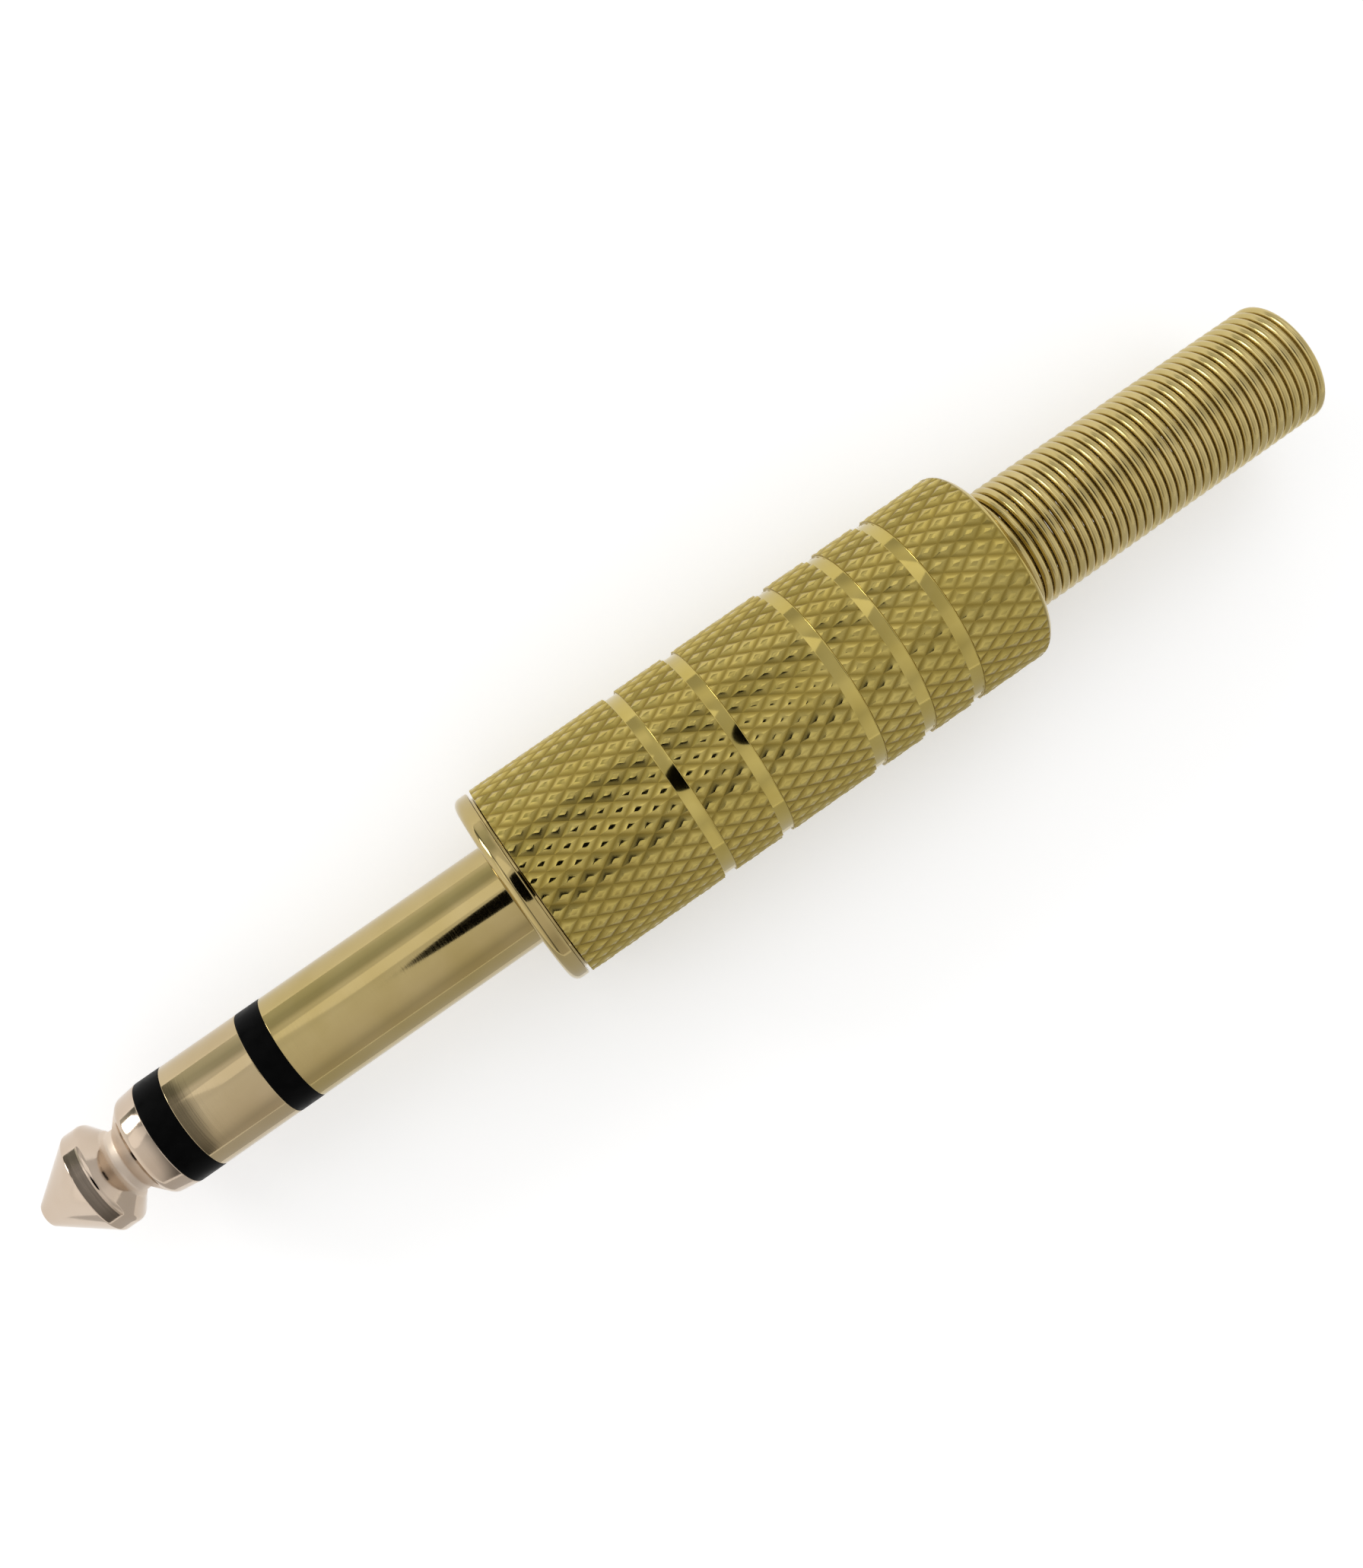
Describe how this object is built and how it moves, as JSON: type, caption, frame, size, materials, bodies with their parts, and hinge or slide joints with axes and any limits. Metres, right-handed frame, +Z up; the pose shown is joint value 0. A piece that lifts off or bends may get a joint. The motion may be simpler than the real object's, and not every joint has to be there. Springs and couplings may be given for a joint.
{
  "type": "stereo jack plug",
  "caption": "Gold three-contact audio jack plug with a pointed tip, a flange, a knurled screw cover and a close-wound spring strain relief for the cable.",
  "frame": {"origin": "on the plug's axis, at the flange's front face, where the plug stops against a socket", "axes": "+X along the axis towards the tip, +Z up, with the cable clamp's strip facing down"},
  "size_m": [0.0842, 0.012, 0.012],
  "materials": {
    "tip_gold": "polished gold plate",
    "contact_gold": "polished gold plate",
    "cover_gold": "knurled gold plate",
    "spring_gold": "bright gold plate",
    "terminal_gold": "satin gold plate",
    "tinned_lug": "tinned",
    "black_insulator": "moulded, slightly glossy",
    "fibre_washer": "pressed fibre board",
    "liner_plastic": "thin milky plastic"
  },
  "bodies": {
    "plug": {"tip_contact": "tip_gold", "tip_insulator": "black_insulator", "ring_contact": "contact_gold", "ring_insulator": "black_insulator", "sleeve_body": "contact_gold", "sleeve_terminal": "terminal_gold", "ring_washer": "fibre_washer", "ring_terminal": "tinned_lug", "tip_washer": "fibre_washer", "tip_terminal": "tinned_lug"},
    "liner": {"liner": "liner_plastic"},
    "spring": {"spring": "spring_gold"},
    "cover": {"cover": "cover_gold"}
  },
  "joints": [
    {"name": "cover_pull_off", "type": "slide", "parent": "plug", "child": "liner", "axis": [-1, 0, 0], "range_m": [0, 0.035]},
    {"name": "cover_advance", "type": "slide", "parent": "liner", "child": "spring", "axis": [-1, 0, 0], "range_m": [0, 0.00525]},
    {"name": "cover_turn", "type": "hinge", "parent": "spring", "child": "cover", "pos_m": [0, 0, 0], "axis": [-1, 0, 0], "range_deg": [0, 2520]}
  ],
  "couplings": [
    {"joint": "cover_advance", "follows": "cover_turn", "m_per_rad": 0.00011937}
  ]
}
